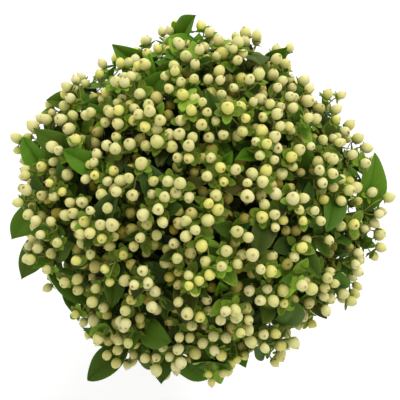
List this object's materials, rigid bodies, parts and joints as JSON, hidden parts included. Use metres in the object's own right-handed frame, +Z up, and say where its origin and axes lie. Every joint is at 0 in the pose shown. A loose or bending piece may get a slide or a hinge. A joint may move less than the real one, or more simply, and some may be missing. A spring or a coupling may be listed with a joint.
{
  "type": "hypericum berry bunch",
  "caption": "Round hand-tied bunch of leafy hypericum stems with clusters of ivory berries, standing on its splayed cut ends.",
  "frame": {"origin": "centre of the middle stem's cut end, on the surface that the bunch stands on", "axes": "+Z up along the middle stem towards the berries; +X and +Y level, with +Y towards the top of the head as it is seen from above"},
  "size_m": [0.3505, 0.3394, 0.4433],
  "materials": {
    "stem": "green bark, satin, turning woody at the cut ends",
    "leaf": "dark green blade with a pale rim and rib, satin above and matt below",
    "sepal": "bright green, matt",
    "berry": "ivory skin, satin, translucent, with a small brown tip",
    "tie": "rough natural twine"
  },
  "bodies": {
    "root": {"stem_01": "stem", "stem_02": "stem", "stem_03": "stem", "stem_04": "stem", "stem_05": "stem", "stem_06": "stem", "stem_07": "stem", "stem_08": "stem", "stem_09": "stem", "stem_10": "stem", "stem_11": "stem", "stem_12": "stem", "stem_13": "stem", "stem_14": "stem", "stem_15": "stem", "stem_16": "stem", "stem_17": "stem", "stem_18": "stem", "stem_19": "stem", "tie": "tie"}
  },
  "joints": []
}
